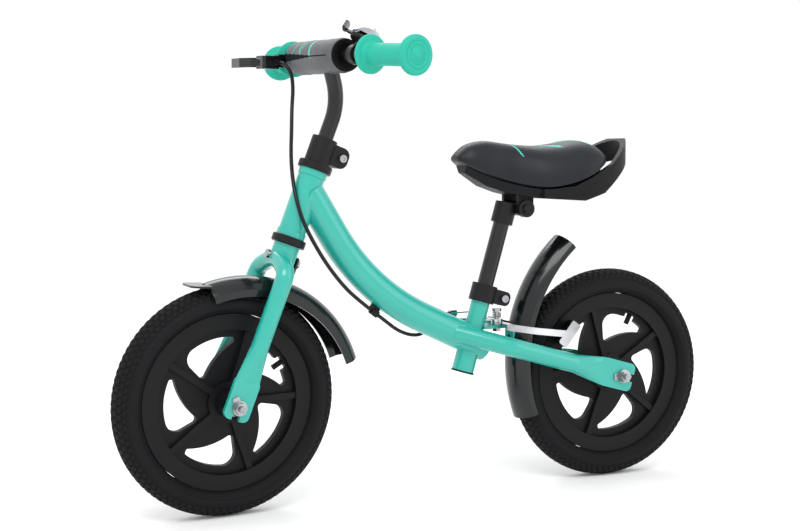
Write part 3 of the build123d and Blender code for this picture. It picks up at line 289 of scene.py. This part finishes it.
def fix_normals(piece):
    shape = bmesh.new()
    shape.from_mesh(piece.data)
    bmesh.ops.recalc_face_normals(shape, faces=shape.faces)
    shape.to_mesh(piece.data)
    shape.free()


def smooth_step(value, low, high):
    share = min(1.0, max(0.0, (value - low) / (high - low)))
    return share * share * (3 - 2 * share)


def frame_on(axis):
    """Two directions that make a right-handed frame with the axis."""
    axis = axis.normalized()
    helper = Vector((0, 0, 1)) if abs(axis.z) < 0.9 else Vector((1, 0, 0))
    first = axis.cross(helper).normalized()
    return first, axis.cross(first)


def turned_solid(name, origin, axis, profile, count):
    """Solid of revolution from (distance along the axis, radius) points."""
    first, second = frame_on(axis)
    axis = axis.normalized()
    rings = []
    for along, radius in profile:
        centre = origin + axis * along
        ring = []
        for index in range(count):
            turn = 2 * math.pi * index / count
            ring.append(centre + (first * math.cos(turn) + second * math.sin(turn)) * radius)
        rings.append(ring)
    return make_rings(name, rings)


# ---------------------------------------------------------------------------------
# Tyres
# ---------------------------------------------------------------------------------

tread_blocks = 92
steps_per_block = 8
tread_depth = 0.0021
tread_skew = 0.022
block_fade = (0.30, 0.42)
shoulder_fade = (0.27, 0.38)
crown_radius, crown_middle = 0.022, 0.124
crown_reach = 68
crown_steps = 76
# millimetres over the crown for each degree round the section
crown_scale = 22 / 57.3
# (middle, half width, shift along the tread as a share of a block), in millimetres over the crown
tread_rows = [(0.0, 3.0, 0.0), (7.6, 2.9, 0.5), (-7.6, 2.9, 0.5), (15.0, 2.7, 0.0), (-15.0, 2.7, 0.0)]
# (inner edge, outer edge, shift)
shoulder_row = (18.6, 24.5, 0.5)
# (radius, distance from the middle plane) down one side wall to the bead, in metres
tyre_wall = [
    (0.1290, 0.0212), (0.1262, 0.0219), (0.1235, 0.0219), (0.1212, 0.0212),
    (0.1208, 0.0217), (0.1196, 0.0211), (0.1188, 0.0201), (0.1168, 0.0184),
    (0.1148, 0.0160), (0.1132, 0.0130), (0.1127, 0.0112), (0.1127, 0.0095),
]


def tread_height(across, turn):
    """1 on a tread block and 0 in a groove; across is in mm over the crown."""
    share = turn / (2 * math.pi) * tread_blocks
    best = 0.0
    for middle, half, shift in tread_rows:
        side = 1 - smooth_step(abs(across - middle), half - 0.3, half + 0.7)
        skew = tread_skew * abs(across - middle)
        along = abs((share + shift + skew) % 1 - 0.5)
        best = max(best, side * (1 - smooth_step(along, *block_fade)))
    low, high, shift = shoulder_row
    side = smooth_step(abs(across), low, low + 0.8) * (1 - smooth_step(abs(across), high - 1, high))
    along = abs((share + shift) % 1 - 0.5)
    return max(best, side * (1 - smooth_step(along, *shoulder_fade)))


def tyre_section():
    """Points round the section: ("tread", (angle, mm over the crown)) or ("wall", (radius, across))."""
    section = []
    for index in range(crown_steps + 1):
        over = math.radians(-crown_reach + 2 * crown_reach * index / crown_steps)
        section.append(("tread", (over, math.degrees(over) * crown_scale)))
    section += [("wall", item) for item in tyre_wall]
    section += [("wall", (radius, -across)) for radius, across in reversed(tyre_wall)]
    return section


def make_tyre(name, axle, place, body, replaced):
    section = tyre_section()
    count = tread_blocks * steps_per_block
    corners = []
    for index in range(count):
        turn = 2 * math.pi * index / count
        cos, sin = math.cos(turn), math.sin(turn)
        for kind, item in section:
            if kind == "wall":
                radius, across = item
            else:
                over, position = item
                height = crown_radius - tread_depth * (1 - tread_height(position, turn))
                radius = crown_middle + height * math.cos(over)
                across = height * math.sin(over)
            corners.append((axle.x + radius * cos, axle.y + across, axle.z + radius * sin))
    faces = ring_faces(count, len(section), True, True, False)
    tyre = make_mesh(name, corners, faces)
    return finish_piece(tyre, rubber_black, body, replaced, place=place)


# ---------------------------------------------------------------------------------
# Grips
# ---------------------------------------------------------------------------------

# (distance from the bend, radius) in millimetres, from the inner face out to the nub
grip_profile = [
    (13.5, 12.0), (13.5, 21.5), (14.2, 23.0), (15.3, 23.8), (17.2, 23.8), (18.3, 23.2),
    (18.9, 21.8), (19.1, 18.0), (19.8, 15.2), (22.0, 13.9), (24.0, 13.6), (40.0, 13.5),
    (88.0, 13.6), (91.0, 14.0), (93.5, 15.5), (94.6, 19.0), (95.0, 22.0), (95.8, 23.3),
    (97.0, 23.8), (100.5, 23.8), (102.0, 23.3), (103.1, 21.8), (103.6, 19.5), (103.7, 17.2),
    (103.2, 16.8), (103.2, 15.6), (103.9, 15.2), (104.0, 12.5), (103.4, 12.0), (103.4, 10.9),
    (104.0, 10.5), (104.1, 4.2), (104.9, 3.6), (105.1, 2.2), (105.2, 0.6),
]
bar_bend = 0.096
bar_sweep = math.radians(11)
bar_drop = math.radians(2)


def make_grip(name, hand, replaced):
    axis = Vector(
        (
            -math.sin(bar_sweep) * math.cos(bar_drop),
            hand * math.cos(bar_sweep) * math.cos(bar_drop),
            -math.sin(bar_drop),
        )
    )
    origin = bar_centre + Vector((0, hand * bar_bend, 0))
    profile = [(along / 1000, radius / 1000) for along, radius in grip_profile]
    grip = turned_solid(name, origin, axis, profile, 96)
    finish_piece(grip, grip_rubber, "handlebar", replaced, place=steered)


# ---------------------------------------------------------------------------------
# Printed parts: a face takes the print where its middle lies on a stripe
# ---------------------------------------------------------------------------------


def on_stripe(x, y, stripe):
    """Whether a point lies within a stripe given as (x, y, half width) points."""
    for (ax, ay, aw), (bx, by, bw) in zip(stripe, stripe[1:]):
        dx, dy = bx - ax, by - ay
        share = ((x - ax) * dx + (y - ay) * dy) / (dx * dx + dy * dy)
        share = min(1.0, max(0.0, share))
        gap = math.hypot(x - ax - share * dx, y - ay - share * dy)
        if gap < aw + share * (bw - aw):
            return True
    return False


# ---------------------------------------------------------------------------------
# Handlebar pad
# ---------------------------------------------------------------------------------

pad_low, pad_high = -0.086, 0.052
pad_radius = 0.0213
# reach beyond which a point is on the pad's cover and not on its foam ends
pad_cover_reach = 0.0203
# profile radius beyond which the surface waves and carries the sewn fin
pad_wave_reach = 0.0205
fin_angle, fin_width, fin_height = 268, 5, 0.0008
# (share of the pad's length from the right, degrees up from straight ahead, half width)
pad_stripes = [
    [(0.15, 0, 0.4), (0.17, 25, 0.6), (0.175, 50, 0.6), (0.19, 85, 0.3)],
    [(0.34, 0, 0.5), (0.31, 25, 1.1), (0.31, 50, 1.3), (0.33, 85, 0.8)],
    [(0.32, 5, 0.4), (0.36, 35, 0.5), (0.39, 60, 0.5), (0.44, 90, 0.4)],
    [(0.57, -8, 0.6), (0.53, 12, 2.2), (0.515, 45, 2.7), (0.53, 90, 1.8)],
]


def pad_finish(share, angle):
    """0 grey cover, 1 teal print, 2 black seam wedge of painted shade in the slit, for a place on the pad.
    """
    # The narrowing black wedge along the front is painted shade: the dark of the slit between the cover's
    # upper and lower halves, laid on as colour.
    if abs(angle) < max(1.2, 15 * (1 - share / 0.65)) and share < 0.9:
        return 2
    length, girth = (pad_high - pad_low) * 1000, pad_radius * 1000
    place = (share * length, math.radians(angle) * girth)
    for stripe in pad_stripes:
        laid = [(u * length, math.radians(v) * girth, half) for u, v, half in stripe]
        if on_stripe(*place, laid):
            return 1
    return 0


def make_pad():
    count, steps = 168, 150
    rings = []
    ends = [(0.0035, 0.0128), (0.0008, 0.0150), (0.0, 0.0183), (0.0002, 0.0203)]
    profile = [(pad_low + inset, radius) for inset, radius in ends]
    for index in range(steps + 1):
        share = index / steps
        edge = min(share, 1 - share) * (pad_high - pad_low)
        swell = pad_radius - 0.0006 * math.exp(-edge / 0.002)
        profile.append((pad_low + 0.0005 + share * (pad_high - pad_low - 0.001), swell))
    profile += [(pad_high - inset, radius) for inset, radius in reversed(ends)]
    for across, radius in profile:
        ring = []
        for index in range(count):
            angle = 2 * math.pi * index / count
            soft = 0.00022 * math.sin(3 * angle + across * 90) + 0.00016 * math.sin(across * 260 + 2 * angle)
            if radius < pad_wave_reach:
                soft = 0.0
            reach = radius + soft
            fin = math.exp(-(((math.degrees(angle) - fin_angle) / fin_width) ** 2))
            if radius > pad_wave_reach:
                reach += fin_height * fin
            ring.append(
                (
                    bar_centre.x + reach * math.cos(angle),
                    bar_centre.y + across,
                    bar_centre.z + reach * math.sin(angle),
                )
            )
        rings.append(ring)
    pad = make_rings("handlebar_pad_cover", rings)
    # The black serves both the real foam on the pad's ends and the painted shade along the seam.
    for material in (pad_grey, print_teal, foam_black_and_seam_shade):
        pad.data.materials.append(material)
    for face in pad.data.polygons:
        spot = face.center
        share = (spot.y - bar_centre.y - pad_low) / (pad_high - pad_low)
        angle = math.degrees(math.atan2(spot.z - bar_centre.z, spot.x - bar_centre.x))
        reach = math.hypot(spot.z - bar_centre.z, spot.x - bar_centre.x)
        face.material_index = pad_finish(share, angle) if reach > pad_cover_reach else 2
    pad.data.transform(steered)
    fix_normals(pad)
    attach(pad, "handlebar")
    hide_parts("handlebar_pad")


# ---------------------------------------------------------------------------------
# Saddle cushion
# ---------------------------------------------------------------------------------

# position, half width, height of the top and of the lower edge, in millimetres
cushion_stations = [
    (-42, 13, 452, 443), (-58, 25, 465, 434), (-82, 30, 470.5, 423), (-110, 34, 467.5, 414),
    (-135, 45, 465, 408), (-160, 57, 464, 406), (-189, 64, 467, 411), (-215, 66, 471.5, 421),
    (-235, 61, 467, 433), (-249, 48, 453, 442),
]
# height of the flat lower lip, in metres
cushion_lip = 0.004
# (position, across, half width) of the printed bands, in millimetres
cushion_stripes = [
    [(-112, -6, 0.5), (-117, 4, 1.2), (-123, 20, 1.3), (-129, 35, 0.7)],
    [(-140, -6, 0.5), (-156, 6, 1.3), (-172, 18, 3.0), (-184, 28, 3.4), (-188, 33, 0.4)],
    [(-176, -16, 0.6), (-196, -4, 3.4), (-213, 8, 4.4), (-223, 22, 3.2), (-229, 40, 0.6)],
]


def blended(values, share):
    """Catmull-Rom through a list of tuples; share counts in list places."""
    index = min(int(share), len(values) - 2)
    t = share - index
    before, here = values[max(index - 1, 0)], values[index]
    after, beyond = values[index + 1], values[min(index + 2, len(values) - 1)]
    return [
        0.5 * (2 * b + (c - a) * t + (2 * a - 5 * b + 4 * c - d) * t * t + (3 * b - a - 3 * c + d) * t**3)
        for a, b, c, d in zip(before, here, after, beyond)
    ]


def make_cushion():
    count, steps = 160, 220
    rings = []
    for index in range(steps + 1):
        station = blended(cushion_stations, index / steps * (len(cushion_stations) - 1))
        position, half, top, low = [value / 1000 for value in station]
        end = min(index, steps - index) / steps
        close = 0.86 + 0.14 * math.sqrt(min(1.0, end / 0.035))
        half *= close
        rise = (top - low) * close
        ring = []
        for turn in range(count):
            angle = 2 * math.pi * turn / count
            cos, sin = math.cos(angle), math.sin(angle)
            across = half * math.copysign(abs(cos) ** 0.80, cos)
            if sin >= 0:
                height = low + cushion_lip + (rise - cushion_lip) * abs(sin) ** 0.95
            else:
                height = low + cushion_lip - cushion_lip * abs(sin) ** 0.7
                across *= 1 - 0.05 * abs(sin)
            tuck = math.exp(-(((height - low - 0.0055) / 0.0013) ** 2)) * (sin >= 0)
            ring.append((position, across * (1 - 0.016 * tuck), height))
        rings.append(ring)
    cushion = make_rings("saddle_cushion_cover", rings)
    for material in (cover_black, print_teal):
        cushion.data.materials.append(material)
    for face in cushion.data.polygons:
        spot = face.center
        place = (spot.x * 1000, spot.y * 1000)
        printed = face.normal.z > 0.1 or spot.z > 0.45
        on_one = any(on_stripe(*place, stripe) for stripe in cushion_stripes)
        face.material_index = 1 if printed and on_one else 0
    fix_normals(cushion)
    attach(cushion, "saddle")
    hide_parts("saddle_cushion")


# ---------------------------------------------------------------------------------
# Brake cable: one smooth spline over the whole route, cut into the three pieces
# ---------------------------------------------------------------------------------

lever_exit = bar_centre + Vector((0.028, -0.088, -0.006))
anchor = Vector((-0.088, -0.034, 0.237))
barrel_front = Vector((-0.048, -0.030, 0.237))
wire_direction = (anchor - barrel_front).normalized()
cable_route = [
    steered @ (lever_exit + Vector((0, -0.004, 0))),
    steered @ (lever_exit + Vector((0, 0.010, 0))),
    Vector((0.163, -0.064, 0.561)),
    Vector((0.161, -0.063, 0.540)),
    Vector((0.165, -0.058, 0.513)),
    Vector((0.171, -0.042, 0.484)),
    Vector((0.179, -0.022, 0.456)),
    Vector((0.184, -0.004, 0.430)),
    Vector((0.186, 0.014, 0.402)),
    Vector((0.181, 0.024, 0.373)),
    Vector((0.168, 0.025, 0.346)),
    Vector((0.148, 0.021, 0.315)),
    Vector((0.120, 0.014, 0.282)),
    Vector((0.091, 0.008, 0.2585)),
    Vector((0.062, 0.001, 0.2375)),
    Vector((0.036, -0.009, 0.219)),
    Vector((0.008, -0.018, 0.210)),
    Vector((-0.014, -0.026, 0.215)),
    barrel_front - wire_direction * 0.014,
    barrel_front + wire_direction * 0.004,
]
upper_last = 6
middle_last = 13
last_point = len(cable_route) - 1
cable_radius = 0.0025


def spline_line(points):
    """Points along the smooth spline whose control points are given."""
    curve = bpy.data.curves.new("route", "CURVE")
    curve.dimensions = "3D"
    curve.resolution_u = 14
    spline = curve.splines.new("NURBS")
    spline.points.add(len(points) - 1)
    for control, place in zip(spline.points, points):
        control.co = (*place, 1)
    spline.order_u = 3
    spline.use_endpoint_u = True
    holder = bpy.data.objects.new("route", curve)
    bpy.context.collection.objects.link(holder)
    bpy.context.view_layer.update()
    mesh = bpy.data.meshes.new_from_object(holder)
    line = [vertex.co.copy() for vertex in mesh.vertices]
    bpy.data.objects.remove(holder)
    bpy.data.meshes.remove(mesh)
    return line


def tube_along(name, line, radius, count):
    """Round tube that follows a line without twisting."""
    across = frame_on(line[1] - line[0])[0]
    rings = []
    for index, centre in enumerate(line):
        along = (line[min(index + 1, len(line) - 1)] - line[max(index - 1, 0)]).normalized()
        across = (across - along * across.dot(along)).normalized()
        beside = along.cross(across)
        ring = []
        for step in range(count):
            turn = 2 * math.pi * step / count
            ring.append(centre + (across * math.cos(turn) + beside * math.sin(turn)) * radius)
        rings.append(ring)
    return make_rings(name, rings)


cable_line = spline_line(cable_route)


def cut_near(before, after):
    """Sample of the cable's line that lies nearest to halfway between two control points."""
    halfway = (cable_route[before] + cable_route[after]) / 2
    return min(range(len(cable_line)), key=lambda index: (cable_line[index] - halfway).length)


def make_cable(name, first, last, bodies, replaced):
    """One stretch of the cable, cut from the line of its whole route."""
    start = cut_near(first - 1, first) if first > 0 else 0
    end = cut_near(last, last + 1) if last < last_point else len(cable_line) - 1
    line = cable_line[start : end + 1]
    cable = tube_along(name, line, cable_radius, 20)
    cable.data.materials.append(sheath_black)
    fix_normals(cable)
    if len(bodies) == 2:
        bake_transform(cable)
    else:
        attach(cable, bodies[0])
    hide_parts(replaced)


# ---------------------------------------------------------------------------------
# Put it together
# ---------------------------------------------------------------------------------

make_camera()
make_cable("brake_cable_upper_skin", 0, upper_last, ["handlebar", "fork"], "brake_cable_upper")
make_cable("brake_cable_middle_skin", upper_last + 1, middle_last, ["fork", "frame"], "brake_cable_middle")
make_cable("brake_cable_lower_skin", middle_last + 1, last_point, ["frame"], "brake_cable_lower")
make_studio()

paint(
    teal_paint,
    "head_tube",
    "down_tube",
    "seat_tube",
    "chainstay_left",
    "chainstay_right",
    "fork_crown",
    "fork_blade_left",
    "fork_blade_right",
    "fork_steerer",
    "brake_bridge",
)
paint(black_paint, "stem_tube", "handlebar_tube", "seat_post")
paint(
    satin_black,
    "headset_cups",
    "stem_clamp",
    "seat_clamp",
    "saddle_clamp",
    "saddle_clamp_bolt",
    "bell_base",
)
paint(moulded_black, "front_rim", "rear_rim", "seat_tube_plug", "cable_guide", "saddle_base")
paint(gloss_black, "front_mudguard", "rear_mudguard", "brake_lever", "bell_lever", "brake_lever_bracket")
paint(rubber_black, "brake_pad_left", "brake_pad_right", "front_inner_tube", "rear_inner_tube")
paint(
    chrome,
    "bell_dome",
    "brake_arm_left",
    "brake_arm_right",
    "front_axle_nuts",
    "rear_axle_nuts",
    "front_axle",
    "rear_axle",
)
paint(
    plated,
    "seat_clamp_bolt",
    "stem_clamp_bolt",
    "front_mudguard_bolt",
    "front_axle_washers",
    "rear_axle_washers",
    "caliper_bolt",
    "caliper_spring",
    "headset_bearings",
    "front_bearings",
    "rear_bearings",
    "brake_inner_wire",
)

make_tyre("rear_tyre_skin", rear_axle, None, "rear_wheel", "rear_tyre")
make_tyre("front_tyre_skin", front_axle, steered, "front_wheel", "front_tyre")

make_grip("grip_left_skin", 1, "grip_left")
make_grip("grip_right_skin", -1, "grip_right")
make_pad()
make_cushion()
